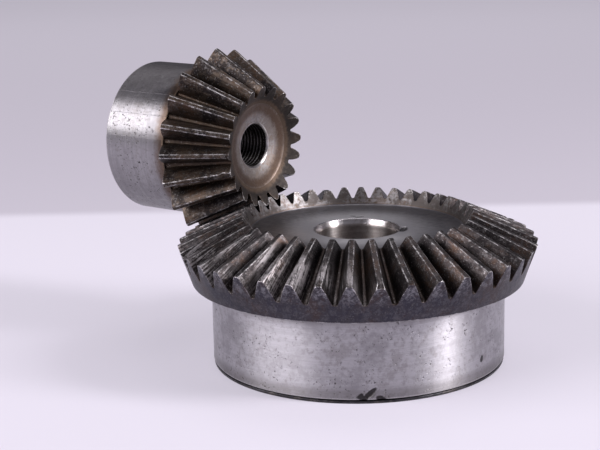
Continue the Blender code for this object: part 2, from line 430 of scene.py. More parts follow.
class ToothRing:
    """The flanks, lands and gap floors of one gear, as rows from toe to heel, and the teeth's end faces."""

    def __init__(self, work, teeth, fillet, corners, top):
        shares, sinking = row_places()
        self.work, self.teeth, self.top = work, teeth, top
        share_grid = shares[None, :] + np.zeros(top.shape)
        fillets = fillet * teeth.reach(share_grid) / CONE_DISTANCE
        across, height = tooth_outline(teeth, share_grid, fillets, corners, top)
        steps = np.hypot(np.diff(across, axis=-1), np.diff(height, axis=-1))
        start = np.zeros(across.shape[:-1] + (1,))
        travelled = np.concatenate((start, np.cumsum(steps, axis=-1)), axis=-1)
        self.across, self.height = sink(across, height, sinking[None, :, None])
        self.centre = (np.arange(teeth.count) * (2.0 * pi / teeth.count))[:, None]
        self.tone = np.arange(teeth.count)[:, None] * TONE_STEP
        radius, station = teeth.section_point(share_grid[..., None], self.height)
        self.azimuth = self.centre[..., None] + self.across / radius
        level = np.clip(self.height / top[..., None], 0.0, 1.0)
        along = share_grid[..., None] * FACE_WIDTH
        wear = self.edge_wear(travelled, along, level)
        points = ring_points(radius, station, self.azimuth)
        values = values_of(level, wear, travelled, along, self.tone[..., None])
        self.body = work.add(points[..., :-1, :], values[..., :-1, :])
        rings = self.body.transpose(1, 0, 2).reshape(len(shares), -1)
        work.skin(rings, "teeth", closed=True)

    @staticmethod
    def edge_wear(travelled, along, level):
        """How bare the metal is: at the tip's corners, at both ends and, a little, all over the land."""
        left = travelled[..., LEFT_TIP - CORNER_STEPS // 2, None]
        right = travelled[..., RIGHT_TIP + CORNER_STEPS // 2, None]
        to_corner = np.minimum(np.abs(travelled - left), np.abs(travelled - right))
        to_end = np.minimum(along, FACE_WIDTH - along) + 0.0 * to_corner
        at_ends = END_WEAR * np.exp(-to_end / CORNER_WEAR_REACH) * high_on_tooth(level)
        column = np.arange(travelled.shape[-1])
        on_land = (column > LEFT_TIP - CORNER_STEPS) & (column < RIGHT_TIP + CORNER_STEPS)
        wear = np.maximum(np.exp(-to_corner / CORNER_WEAR_REACH), at_ends)
        return np.maximum(wear, LAND_WEAR * on_land)

    def end_face(self, row, share, surface):
        """Fills the end faces of the teeth at one end, and returns the ring that the blank joins on to."""
        across, height, top = self.across[:, row], self.height[:, row], self.top[:, row]
        lines = [self.body[:, row, LEFT_TIP:RIGHT_TIP + 1]]
        for depth in range(1, SIDE_POINTS):
            left, right = LEFT_TIP - depth, RIGHT_TIP + depth
            inner_across, inner_height = between(across, left, right), between(height, left, right)
            radius, station = self.teeth.section_point(share, inner_height)
            points = ring_points(radius, station, self.centre + inner_across / radius)
            level = np.clip(inner_height / top[:, None], 0.0, 1.0)
            to_edge = np.minimum(inner_across - across[:, left, None], across[:, right, None] - inner_across)
            wear = FACE_WEAR * np.exp(-to_edge / FACE_WEAR_REACH) * high_on_tooth(level)
            fresh = self.work.add(points, values_of(level, wear, inner_across, inner_height, self.tone))
            ends = self.body[:, row, left:left + 1], self.body[:, row, right:right + 1]
            lines.append(np.concatenate((ends[0], fresh, ends[1]), axis=1))
        for index in range(self.teeth.count):
            grid = np.array([line[index] for line in lines])
            self.work.skin(grid[::-1] if surface == "toe" else grid, surface)
        base = (self.body[:, row, :LEFT_FOOT], lines[-1], self.body[:, row, RIGHT_FOOT + 1:])
        return np.concatenate(base, axis=1).reshape(-1)

    def foot_azimuths(self):
        """Azimuths of the ring at the feet of the toe faces, evenly spread under each tooth."""
        azimuth = self.azimuth[:, 0]
        under = np.linspace(azimuth[:, LEFT_FOOT], azimuth[:, RIGHT_FOOT], len(LAND_SHARES) + 2, axis=-1)
        parts = (azimuth[:, :LEFT_FOOT], under, azimuth[:, RIGHT_FOOT + 1:-1])
        return np.concatenate(parts, axis=1).reshape(-1)


def build_gear(name, teeth, fillet, tips, blank, slots, first_turn, place, dents=(), focus=None):
    """Closed gear object: toothed ring, both end faces and the turned blank between them.

    tips holds the corner sizes and land heights, and focus is the azimuth where the hub has the most points.
    """
    work = GearMesh()
    ring = ToothRing(work, teeth, fillet, *tips)
    toe_base = ring.end_face(0, 0.0, "toe")
    heel_base = ring.end_face(-1, 1.0, "heel")
    first = (*teeth.section_point(0.0, -END_ROUNDING), 0.0, "toe")
    last = (*teeth.section_point(1.0, -END_ROUNDING), 0.0, "heel")
    section, owners = round_section([first] + blank + [last], BLANK_STEP)
    inner_section = section[1:-1]
    nominal = ring.foot_azimuths()[None, :]
    bearing = nominal + np.zeros((len(inner_section), 1))
    if focus is not None:
        on_hub = np.array([owner == "hub" for owner in owners])[1:-1, None]
        bearing = np.where(on_hub, gathered(bearing, focus), bearing)
    turned = ring_points(inner_section[:, :1], inner_section[:, 1:], bearing)
    length = np.concatenate(([0.0], np.cumsum(np.hypot(*np.diff(inner_section, axis=0).T))))
    wear = convexity(section)[1:-1]
    values = values_of(0.0, wear[:, None], length[:, None], nominal * LAY_PER_RADIAN, 0.0)
    blank_rings = work.add(turned, values)
    rings = np.concatenate((toe_base[None], blank_rings, heel_base[None]))
    work.skin(rings[::-1], owners[:len(rings) - 1][::-1], closed=True)
    return mesh_object(name, work, slots, first_turn, place, dents)


def convexity(section):
    """Wear of each section point, from how sharply the section turns outwards there."""
    before = section[1:-1] - section[:-2]
    after = section[2:] - section[1:-1]
    turn = np.arctan2(before[:, 0] * after[:, 1] - before[:, 1] * after[:, 0], (before * after).sum(axis=1))
    wear = np.clip(-turn / 0.22, 0.0, 1.0)
    return np.concatenate(([0.0], wear, [0.0]))


def mesh_object(name, work, slots, first_turn, place, dents):
    """Object in the frame from gathered points; its surfaces take their materials from slots."""
    points = np.concatenate(work.points)
    spin = np.array(Matrix.Rotation(first_turn, 3, "Z"))
    points = points @ spin.T * MM
    turn, shift = np.array(place.to_3x3()), np.array(place.translation)
    points, knock = press(points @ turn.T + shift, dents)
    faces = np.concatenate(work.faces)
    mesh = bpy.data.meshes.new(name)
    mesh.from_pydata(points.tolist(), [], faces.tolist())
    names = list(slots)
    for surface in names:
        mesh.materials.append(slots[surface])
    materials = np.array([names.index(surface) for surface in work.surfaces], dtype=np.int32)
    mesh.polygons.foreach_set("material_index", materials)
    values = np.concatenate(work.values)
    for title, column in (("tooth_height", values[:, 0]), ("edge_wear", values[:, 1]), ("knock", knock)):
        mesh.attributes.new(title, "FLOAT", "POINT").data.foreach_set("value", column.astype(np.float32))
    lay = mesh.attributes.new("lay", "FLOAT_VECTOR", "POINT")
    lay.data.foreach_set("vector", values[:, 2:5].astype(np.float32).reshape(-1))
    source = np.concatenate(work.points)
    turned = np.stack((np.hypot(source[:, 0], source[:, 1]), source[:, 2], 0.0 * source[:, 2]), axis=-1)
    spot = mesh.attributes.new("turned", "FLOAT_VECTOR", "POINT")
    spot.data.foreach_set("vector", turned.astype(np.float32).reshape(-1))
    mesh.shade_smooth()
    mesh.validate()
    mesh.update()
    thing = bpy.data.objects.new(name, mesh)
    bpy.context.scene.collection.objects.link(thing)
    return thing


class Shade:
    """Builds one material's nodes. Values passed in may be numbers, colours or node outputs."""

    def __init__(self, name):
        self.material = bpy.data.materials.new(name)
        self.material.use_nodes = True
        self.tree = self.material.node_tree
        self.shader = self.tree.nodes["Principled BSDF"]

    def put(self, socket, value):
        if isinstance(value, bpy.types.NodeSocket):
            self.tree.links.new(value, socket)
        elif isinstance(value, tuple) and len(value) == 3 and socket.type == "RGBA":
            socket.default_value = (*value, 1.0)
        else:
            socket.default_value = value

    def node(self, kind, settings=None, **inputs):
        made = self.tree.nodes.new(kind)
        for key, value in (settings or {}).items():
            setattr(made, key, value)
        for key, value in inputs.items():
            self.put(made.inputs[key.replace("_", " ")], value)
        return made

    def math(self, operation, first, second=0.0, clamp=False):
        made = self.node("ShaderNodeMath", {"operation": operation, "use_clamp": clamp})
        self.put(made.inputs[0], first)
        self.put(made.inputs[1], second)
        return made.outputs[0]

    def times(self, *values):
        result = values[0]
        for value in values[1:]:
            result = self.math("MULTIPLY", result, value)
        return result

    def step(self, value, low, high, out_low=0.0, out_high=1.0):
        """Smooth rise of a value from out_low at low to out_high at high."""
        made = self.node("ShaderNodeMapRange", {"interpolation_type": "SMOOTHSTEP"})
        names = ("Value", "From Min", "From Max", "To Min", "To Max")
        for key, amount in zip(names, (value, low, high, out_low, out_high)):
            self.put(made.inputs[key], amount)
        return made.outputs["Result"]

    def blend(self, factor, first, second):
        made = self.node("ShaderNodeMix", {"data_type": "RGBA"})
        self.put(made.inputs[0], factor)
        self.put(made.inputs[6], first)
        self.put(made.inputs[7], second)
        return made.outputs[2]

    def attribute(self, name, output="Fac"):
        return self.node("ShaderNodeAttribute", {"attribute_name": name}).outputs[output]

    def stretch(self, vector, x, y, z, shift=0.0):
        """Coordinates scaled on each axis."""
        made = self.node("ShaderNodeMapping", Vector=vector)
        made.inputs["Scale"].default_value = (x, y, z)
        made.inputs["Location"].default_value = (shift, shift * 0.7, shift * 1.3)
        return made.outputs["Vector"]

    def noise(self, vector, scale, detail, roughness):
        made = self.node("ShaderNodeTexNoise", Vector=vector, Scale=scale, Detail=detail, Roughness=roughness)
        return made.outputs["Fac"]

    def mixed(self, first, share, second, other_share):
        """Sum of two values, each times its share."""
        return self.math("ADD", self.times(first, share), self.times(second, other_share))

    def around_half(self, value, amount):
        """How far a noise value is from its middle, times an amount."""
        return self.times(self.math("SUBTRACT", value, 0.5), amount)

    def toward(self, coordinates, direction):
        """Distance of each point along a direction."""
        made = self.node("ShaderNodeVectorMath", {"operation": "DOT_PRODUCT"})
        self.put(made.inputs[0], coordinates)
        self.put(made.inputs[1], direction)
        return made.outputs["Value"]


PER_MM = 1.0 / MM
MARK_DRIFT = 0.035
PIT_COLOUR = (0.03, 0.025, 0.025)
SPARK_COLOUR = (0.42, 0.40, 0.40)
WEAR_COLOUR = (0.62, 0.60, 0.61)
# Painted shade in the dents: its colour and amount.
DENT_SHADE_COLOUR = (0.025, 0.022, 0.022)
DENT_SHADE_AMOUNT = 0.9
PIT_DEPTH = 0.05

# What a look has where it doesn't say otherwise. A range is where a pattern starts and where it is full.
PLAIN_LOOK = {
    "mottle_scale": 0.55, "tint_range": (0.46, 0.60), "worn_range": (0.50, 0.62), "worn_low": 0.1,
    "worn_high": 0.9, "pit_scale": 1.3, "pit_size": 0.60, "pit_range": (0.48, 0.62), "fleck_amount": 0.2,
    "bands": (), "band_axis": "Y", "wear_least": 1.0, "rough_marks": 0.12, "metallic": 1.0,
}


class Steel(Shade):
    """Worn steel, coloured layer by layer. axis is 'Z' for the wheel and 'X' for the pinion."""

    def __init__(self, name, axis, look):
        super().__init__(name)
        self.look = {**PLAIN_LOOK, **look}
        self.coordinates = self.node("ShaderNodeTexCoord").outputs["Object"]
        self.place = self.stretch(self.coordinates, PER_MM, PER_MM, PER_MM)
        self.level = self.attribute("tooth_height")
        self.turned = self.attribute("turned", "Vector")
        fine = self.mark_place(axis)
        self.marks = self.noise(fine, 1.0, 4.0, 0.65)
        self.coarse_marks = self.noise(fine, 0.23, 3.0, 0.6)
        self.mottle = self.pattern(41.0, self.look["mottle_scale"], 5.0, 0.65)
        self.grit = self.pattern(7.0, 2.6, 4.0, 0.7)
        self.patchy = self.pattern(61.0, 0.42, 3.0, 0.6)
        self.streak = self.step(self.mixed(self.marks, 0.6, self.coarse_marks, 0.4), 0.32, 0.68)
        self.colour = self.blend(self.streak, self.look["low"], self.look["high"])

    def mark_place(self, axis):
        """Coordinates drawn out along the tool marks: round the gear's axis, or along the tooth."""
        pitch = self.look["pitch"]
        if self.look["marks"] == "lengthwise":
            return self.stretch(self.attribute("lay", "Vector"), pitch, 0.09, 0.37)
        drift = MARK_DRIFT * PER_MM
        across_axis = (drift, drift, 0.0) if axis == "Z" else (0.0, drift, drift)
        parts = self.node("ShaderNodeVectorMath", {"operation": "ADD"})
        self.put(parts.inputs[0], self.stretch(self.turned, 1.0, 1.0, 0.0))
        self.put(parts.inputs[1], self.stretch(self.coordinates, *across_axis))
        return self.stretch(parts.outputs[0], pitch, pitch, 1.0)

    def pattern(self, shift, scale, detail, roughness):
        """Noise through the metal. Each pattern has its own shift, so that no two fall together."""
        return self.noise(self.stretch(self.place, 1.0, 1.0, 1.0, shift), scale, detail, roughness)

    def paint(self, mask, amount, colour):
        self.colour = self.blend(self.times(mask, amount), self.colour, colour)

    def add_tints(self):
        """Two large stains, one where the slow pattern is high and one where it is low."""
        blotch = self.pattern(13.0, 0.09, 4.0, 0.6)
        self.tinted = self.step(self.mixed(blotch, 0.6, self.mottle, 0.4), *self.look["tint_range"])
        self.paint(self.tinted, self.look["tint_amount"], self.look["tint"])
        second = self.step(self.mixed(self.math("SUBTRACT", 1.0, blotch), 0.5, self.mottle, 0.5), 0.50, 0.62)
        self.paint(second, self.look["second_amount"], self.look["second"])

    def add_painted_highlight(self):
        """Painted highlight: bright patches on one side of the gear."""
        painted_highlight = self.step(self.pattern(29.0, 0.07, 2.0, 0.5), 0.35, 0.55)
        painted_highlight = self.times(painted_highlight, self.step(self.mixed(self.mottle, 0.6, self.streak, 0.3), 0.36, 0.56))
        side = self.toward(self.coordinates, self.look["highlight_side"])
        painted_highlight = self.times(painted_highlight, self.step(side, self.look["highlight_from"], self.look["highlight_to"]))
        self.paint(painted_highlight, self.look["highlight_amount"], self.look["painted_highlight"])

    def add_worn_patches(self):
        """Small worn patches, more of them higher on the tooth."""
        worn = self.mixed(self.pattern(53.0, 1.1, 5.0, 0.7), 0.6, self.patchy, 0.4)
        height = self.step(self.level, self.look["worn_low"], self.look["worn_high"])
        worn = self.times(self.step(worn, *self.look["worn_range"]), height)
        self.paint(worn, self.look["worn_amount"], self.look["worn"])

    def add_root_rust(self):
        near_root = self.step(self.level, self.look["root_reach"], 0.0)
        rusty = self.step(self.mixed(near_root, 0.55, self.mottle, 0.75), 0.50, 0.85)
        rusty = self.times(rusty, self.step(self.grit, 0.38, 0.60, 0.25, 1.0))
        self.paint(rusty, self.look["root_amount"], self.look["root"])

    def add_dirt(self):
        """Dark pits in clusters, and fine flecks all over."""
        speck = self.pattern(3.0, self.look["pit_scale"], 3.0, 0.6)
        cluster = self.step(self.pattern(77.0, 0.16, 3.0, 0.6), *self.look["pit_range"])
        pits = self.times(self.step(speck, self.look["pit_size"], 0.70), cluster, self.look["pit_amount"])
        flecks = self.times(self.step(self.grit, 0.60, 0.72), self.look["fleck_amount"])
        self.dirt = self.math("MAXIMUM", pits, flecks)
        self.colour = self.blend(self.dirt, self.colour, PIT_COLOUR)

    def add_painted_side_shade(self):
        """Painted shade on one side of the gear, with a ragged border."""
        side = self.toward(self.coordinates, self.look["shade_side"])
        spread = self.math("ADD", side, self.around_half(self.mottle, 0.012))
        painted_shade = self.step(spread, self.look["shade_from"], self.look["shade_to"], 0.0, self.look["shade_amount"])
        self.colour = self.blend(painted_shade, self.colour, self.look["painted_shade"])

    def add_bands(self):
        """Ragged rings round the gear's axis: middle and half width in millimetres, colour and amount."""
        for middle, reach, colour, amount in self.look["bands"]:
            parts = self.node("ShaderNodeSeparateXYZ", Vector=self.turned)
            distance = self.math("SUBTRACT", parts.outputs[self.look["band_axis"]], middle)
            rag = self.around_half(self.mottle, min(reach * 1.6, 5.0))
            ragged = self.math("ADD", self.math("ABSOLUTE", distance), rag)
            self.paint(self.step(ragged, reach, reach * 0.15), amount, colour)

    def add_sparks(self):
        """Small bright spots."""
        sparks = self.step(self.pattern(19.0, 1.7, 3.0, 0.6), 0.60, 0.68)
        self.paint(sparks, self.look["spark_amount"], SPARK_COLOUR)

    def add_scuffs(self):
        """Metal rubbed bright along the edges."""
        wear = self.times(self.attribute("edge_wear"), 0.72)
        wear = self.math("ADD", wear, self.around_half(self.grit, 1.5))
        least = self.step(self.patchy, 0.44, 0.60, self.look["wear_least"], 1.0)
        self.scuff = self.times(self.step(wear, 0.34, 0.62), self.look["wear_amount"], least)
        self.colour = self.blend(self.scuff, self.colour, WEAR_COLOUR)

    def add_dent_shade(self):
        """Painted shade: dark colour in the dents."""
        dent_shade = self.math("ADD", self.attribute("knock"), self.around_half(self.grit, 0.5))
        self.paint(self.step(dent_shade, 0.12, 0.55), DENT_SHADE_AMOUNT, DENT_SHADE_COLOUR)

    def set_surface(self, axis):
        """Connects colour, roughness and relief to the shader."""
        rough = self.math("ADD", self.look["rough"], self.around_half(self.marks, self.look["rough_marks"]))
        rough = self.math("ADD", rough, self.times(self.dirt, 0.25))
        rough = self.math("ADD", rough, self.times(self.tinted, 0.06))
        rough = self.math("SUBTRACT", rough, self.times(self.scuff, 0.08), True)
        depth = self.look["mark_depth"]
        relief = self.mixed(self.marks, depth, self.coarse_marks, depth * 1.5)
        relief = self.math("ADD", relief, self.times(self.grit, self.look["grit_depth"]))
        relief = self.math("SUBTRACT", relief, self.times(self.dirt, PIT_DEPTH))
        bump = self.node("ShaderNodeBump", Strength=1.0, Distance=MM, Height=relief)
        sockets = self.shader.inputs
        self.put(sockets["Base Color"], self.colour)
        self.put(sockets["Roughness"], rough)
        self.put(sockets["Normal"], bump.outputs["Normal"])
        sockets["Metallic"].default_value = self.look["metallic"]
        if "anisotropic" in self.look:
            sockets["Anisotropic"].default_value = self.look["anisotropic"]
            sockets["Anisotropic Rotation"].default_value = 0.25
            tangent = self.node("ShaderNodeTangent", {"direction_type": "RADIAL", "axis": axis})
            self.put(sockets["Tangent"], tangent.outputs["Tangent"])


def steel(name, axis, look):
    """Material of one surface, from its look: a table of colours and amounts."""
    metal = Steel(name, axis, look)
    metal.add_tints()
    if "painted_highlight" in look:
        metal.add_painted_highlight()
    if "worn" in look:
        metal.add_worn_patches()
    if "root" in look:
        metal.add_root_rust()
    metal.add_dirt()
    if "painted_shade" in look:
        metal.add_painted_side_shade()
    metal.add_bands()
    if "spark_amount" in look:
        metal.add_sparks()
    metal.add_scuffs()
    metal.add_dent_shade()
    metal.set_surface(axis)
    return metal.material


SLATE = (0.036, 0.036, 0.052)

TEETH = {
    "marks": "lengthwise", "pitch": 1.9, "low": (0.022, 0.018, 0.018), "high": (0.058, 0.048, 0.048),
    "tint": (0.010, 0.008, 0.009), "tint_amount": 0.85, "tint_range": (0.47, 0.54), "mottle_scale": 0.7,
    "second": (0.055, 0.030, 0.019), "second_amount": 0.75,
    "worn": (0.16, 0.150, 0.153), "worn_amount": 0.50, "worn_range": (0.52, 0.62), "wear_least": 0.12,
    # Painted highlight: bright patches on the teeth on the side towards the camera.
    "painted_highlight": (0.46, 0.430, 0.44), "highlight_amount": 0.75, "highlight_side": (-0.10, -0.995, 0.0), "highlight_from": 0.036,
    "highlight_to": 0.047,
    "root": (0.042, 0.030, 0.025), "root_amount": 0.80, "root_reach": 0.30,
    "pit_amount": 0.6, "fleck_amount": 0.65,
    "spark_amount": 0.30, "wear_amount": 0.80, "metallic": 0.85, "rough": 0.38, "rough_marks": 0.25,
    "mark_depth": 0.030, "grit_depth": 0.06,
}
HEEL = {
    "marks": "around", "pitch": 1.1, "low": (0.042, 0.038, 0.045), "high": (0.062, 0.057, 0.066),
    "tint": SLATE, "tint_amount": 0.6, "second": (0.060, 0.040, 0.036), "second_amount": 0.6,
    "worn": (0.22, 0.215, 0.235), "worn_amount": 0.75, "worn_range": (0.46, 0.60), "worn_low": -0.30,
    "worn_high": 0.7, "wear_least": 0.35,
    "pit_amount": 0.5, "fleck_amount": 0.35, "wear_amount": 0.75, "rough": 0.42, "mark_depth": 0.006,
    "grit_depth": 0.035, "spark_amount": 0.12,
}
TOE = {
    "marks": "around", "pitch": 2.5, "low": (0.12, 0.112, 0.113), "high": (0.25, 0.238, 0.242),
    "tint": (0.055, 0.045, 0.040), "tint_amount": 0.80, "second": (0.10, 0.063, 0.042), "second_amount": 0.60,
    "tint_range": (0.44, 0.54), "mottle_scale": 0.75, "worn": (0.42, 0.41, 0.415), "worn_amount": 0.5,
    "worn_range": (0.50, 0.60),
    "pit_amount": 0.6, "fleck_amount": 0.3, "wear_amount": 0.6, "rough": 0.44, "mark_depth": 0.012,
    "grit_depth": 0.03,
}
DISC = {
    "marks": "around", "pitch": 2.2, "low": (0.135, 0.130, 0.142), "high": (0.21, 0.203, 0.215),
    "tint": (0.10, 0.095, 0.105), "tint_amount": 0.6, "second": (0.18, 0.155, 0.14), "second_amount": 0.35,
    "pit_amount": 0.35, "fleck_amount": 0.15, "wear_amount": 0.5, "rough": 0.36, "mark_depth": 0.010,
    "grit_depth": 0.012, "anisotropic": 0.5,
}
BORE = {
    "marks": "around", "pitch": 1.4, "low": (0.30, 0.27, 0.26), "high": (0.44, 0.41, 0.40),
    "tint": (0.20, 0.165, 0.145), "tint_amount": 0.5, "second": (0.15, 0.11, 0.085), "second_amount": 0.3,
    "pit_amount": 0.3, "wear_amount": 0.7, "rough": 0.30, "mark_depth": 0.008, "grit_depth": 0.008,
    "anisotropic": 0.8,
}
HUB = {
    "marks": "around", "pitch": 3.2, "low": (0.40, 0.388, 0.41), "high": (0.51, 0.497, 0.52),
    "tint": (0.29, 0.276, 0.29), "tint_amount": 0.55, "second": (0.22, 0.20, 0.195), "second_amount": 0.45,
    "pit_amount": 0.85, "pit_size": 0.58, "pit_range": (0.45, 0.57), "pit_scale": 1.25, "fleck_amount": 0.10,
    "wear_amount": 0.4, "rough": 0.38, "rough_marks": 0.10, "mark_depth": 0.006, "grit_depth": 0.005,
    "anisotropic": 0.85,
}
WHEEL_TOE = {**TOE, "bands": ((WHEEL_FACE_STATION, 1.1, (0.10, 0.070, 0.050), 0.75),)}
WHEEL_DISC = {**DISC, "band_axis": "X", "bands": ((15.0, 15.0, (0.58, 0.57, 0.58), 0.90),)}
WHEEL_CHAMFER = {**BORE, "low": (0.40, 0.38, 0.39), "high": (0.56, 0.54, 0.55)}
PINION_TEETH_LOOK = {
    **TEETH, "low": (0.026, 0.019, 0.015), "high": (0.100, 0.076, 0.060), "second": (0.075, 0.042, 0.025),
    "root": (0.050, 0.033, 0.023), "root_reach": 0.45, "spark_amount": 0.35, "rough": 0.40,
    "highlight_amount": 0.0,
}
PINION_TOE = {
    **TOE, "low": (0.020, 0.015, 0.013), "high": (0.048, 0.038, 0.032), "second": (0.036, 0.022, 0.014),
    "tint": (0.014, 0.011, 0.010), "worn": (0.13, 0.115, 0.105), "worn_amount": 0.5, "rough": 0.50,
    "band_axis": "X", "bands": ((15.3, 1.5, (0.085, 0.056, 0.038), 0.80),), "metallic": 0.7,
}
PINION_DISH = {
    **TOE, "low": (0.21, 0.195, 0.19), "high": (0.33, 0.315, 0.31), "tint": (0.17, 0.145, 0.13),
    "second": (0.22, 0.15, 0.10), "second_amount": 0.5, "rough": 0.42,
    "band_axis": "X", "bands": ((13.4, 3.4, (0.070, 0.042, 0.027), 0.85),),
}
PINION_CHAMFER = {**BORE, "low": (0.40, 0.38, 0.38), "high": (0.55, 0.53, 0.53)}
# Painted shade: the pinion's bore is coloured near black, for the shade inside it.
PINION_BORE_SHADE = {
    **BORE, "low": (0.010, 0.008, 0.007), "high": (0.026, 0.021, 0.018), "tint": (0.010, 0.008, 0.007),
    "second": (0.018, 0.013, 0.010), "rough": 0.45,
}
PINION_HEEL = {**TOE, "low": (0.10, 0.070, 0.048), "high": (0.20, 0.145, 0.105), "tint": (0.08, 0.055, 0.04)}
# Painted shade: the shim ring is coloured near black, as the shade line under the wheel's hub.
SHIM_PAINTED_SHADE = {**DISC, "low": (0.030, 0.029, 0.032), "high": (0.06, 0.058, 0.062)}


def turned_into(angle, axis):
    return Matrix.Translation(APEX) @ Matrix.Rotation(angle, 4, axis)


def make_wheel():
    teeth = Teeth(WHEEL_TEETH, WHEEL_CONE, WHEEL_BACK_ANGLE, WHEEL_ADDENDUM, PINION_ADDENDUM, -THICKENING)
    shares, _ = row_places()
    tips = tip_wear(teeth, shares, 5, 1.0, WHEEL_MARKS)
    face, floor = WHEEL_FACE_STATION, WHEEL_FLOOR_STATION
    rim = crossing((WHEEL_RIM_RADIUS, 0.0), ALONG, *teeth.row_cone(1.0))
    under = rim[1] + 0.4
    corner = crossing((0.0, face), ACROSS, *teeth.row_cone(0.0))
    mouth = WHEEL_BORE_RADIUS + WHEEL_MOUTH_FLARE
    blank = [
        (*corner, 0.5, "disc"),
        *[(radius, face, 0.0, "disc") for radius in np.arange(20.0, 15.6, -0.4)],
        (mouth, face, 0.25, "chamfer"),
        (WHEEL_BORE_RADIUS, face + WHEEL_BORE_CHAMFER, 0.4, "bore"),
        (WHEEL_BORE_RADIUS, floor - WHEEL_BORE_CHAMFER, 0.4, "chamfer"),
        (mouth, floor, 0.3, "disc"),
        (WHEEL_HUB_RADIUS, floor, 0.6, "hub"),
        *[(WHEEL_HUB_RADIUS, floor - height, 0.0, "hub") for height in np.arange(0.8, 7.0, 0.25)],
        (WHEEL_HUB_RADIUS, under, 0.7, "heel"),
        (rim[0], under, 0.35, "heel"),
    ]
    # Painted shade on the hub: a darker ring at its foot, next to the shim, and one at its top, under the
    # overhanging rim.
    foot_shade_band = (floor - 1.5, 3.4, (0.17, 0.158, 0.155), 0.55)
    rim_shade_band = (under + 1.0, 2.6, (0.20, 0.188, 0.185), 0.50)
    looks = {
        "teeth": TEETH, "toe": WHEEL_TOE, "disc": WHEEL_DISC, "chamfer": WHEEL_CHAMFER, "bore": BORE,
        "hub": {**HUB, "bands": (foot_shade_band, rim_shade_band)}, "heel": HEEL,
    }
    steels = {surface: steel("wheel_" + surface, "Z", look) for surface, look in looks.items()}
    half_tooth = pi / WHEEL_TEETH
    focus = radians(-NICK_BEARING) - half_tooth
    thing = build_gear("wheel_detail", teeth, WHEEL_FILLET, tips, blank, steels, half_tooth,
                       turned_into(pi, "X"), WHEEL_DENTS, focus)
    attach(thing, "wheel")
    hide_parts("wheel")


def make_pinion():
    teeth = Teeth(PINION_TEETH, PINION_CONE, WHEEL_CONE, PINION_ADDENDUM, WHEEL_ADDENDUM, THICKENING)
    shares, _ = row_places()
    tips = tip_wear(teeth, shares, 11, 1.15, PINION_MARKS)
    dish = crossing((PINION_DISH_RADIUS, 0.0), ALONG, *teeth.row_cone(0.0))
    floor = dish[1] + PINION_DISH_DEPTH
    shoulder = crossing((PINION_HUB_RADIUS, 0.0), ALONG, *teeth.row_cone(1.0))
    back = PINION_BACK_STATION
    blank = [(*dish, 0.5, "dish"), (PINION_BORE_RADIUS + 0.5, floor, 0.25, "chamfer"),
             (PINION_BORE_RADIUS, floor + 0.5, 0.15, "bore")]
    first_groove = floor + 1.5
    grooves = int((back - 3.0 - first_groove) / PINION_GROOVE_PITCH)
    for step in range(grooves * PINION_GROOVE_STEPS):
        turn = step / PINION_GROOVE_STEPS
        depth = PINION_GROOVE_DEPTH * (0.5 - 0.5 * cos(2.0 * pi * turn))
        blank.append((PINION_BORE_RADIUS + depth, first_groove + turn * PINION_GROOVE_PITCH, 0.0, "bore"))
    blank += [
        (PINION_BORE_RADIUS, back - 1.0, 0.2, "chamfer"),
        (PINION_BORE_RADIUS + 1.0, back, 0.2, "back"),
        (PINION_HUB_RADIUS, back, 1.0, "hub"),
        (PINION_HUB_RADIUS, shoulder[1], 1.1, "heel"),
    ]
    hub = {
        **HUB, "low": (0.28, 0.27, 0.283), "high": (0.38, 0.37, 0.383), "pit_range": (0.38, 0.52),
        "rough": 0.43, "bands": ((shoulder[1] + 1.0, 5.0, (0.11, 0.068, 0.044), 0.85),),
        # Painted shade: the hub is darker towards its top.
        "shade_side": (0.0, 0.25, 0.97), "shade_from": APEX_Z + 0.004, "shade_to": APEX_Z + 0.022,
        "painted_shade": (0.085, 0.080, 0.084), "shade_amount": 0.88,
    }
    looks = {
        "teeth": PINION_TEETH_LOOK, "toe": PINION_TOE, "dish": PINION_DISH, "chamfer": PINION_CHAMFER,
        "bore": PINION_BORE_SHADE, "back": DISC, "hub": hub, "heel": PINION_HEEL,
    }
    steels = {surface: steel("pinion_" + surface, "X", look) for surface, look in looks.items()}
    thing = build_gear("pinion_detail", teeth, PINION_FILLET, tips, blank, steels, 0.0,
                       turned_into(-pi / 2.0, "Y"))
    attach(thing, "pinion")
    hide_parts("pinion")


def rim_spot(radius, bearing, height):
    """Point on the wheel: radius and height in millimetres, bearing in degrees in the frame."""
    turn = radians(bearing)
    return (AXIS_X / MM + radius * cos(turn), radius * sin(turn), height)


def hub_dent(bearing, height, slope, long, wide, depth):
    """Knock in the wheel's hub, sloping up to the right by an angle in degrees."""
    turn, tilt = radians(bearing), radians(slope)
    along = (-sin(turn) * cos(tilt), cos(turn) * cos(tilt), sin(tilt))
    inward = (-cos(turn), -sin(turn), 0.0)
    return Dent(rim_spot(WHEEL_HUB_RADIUS, bearing, height), along, inward, long, wide, depth)


def face_dent(radius, bearing, slant, long, wide, depth):
    """Knock in the wheel's flat face, its long direction slanted from the tangent by an angle in degrees."""
    turn = radians(bearing + 90.0 + slant)
    height = APEX_Z / MM - WHEEL_FACE_STATION
    along = (cos(turn), sin(turn), 0.0)
    return Dent(rim_spot(radius, bearing, height), along, (0.0, 0.0, -1.0), long, wide, depth)


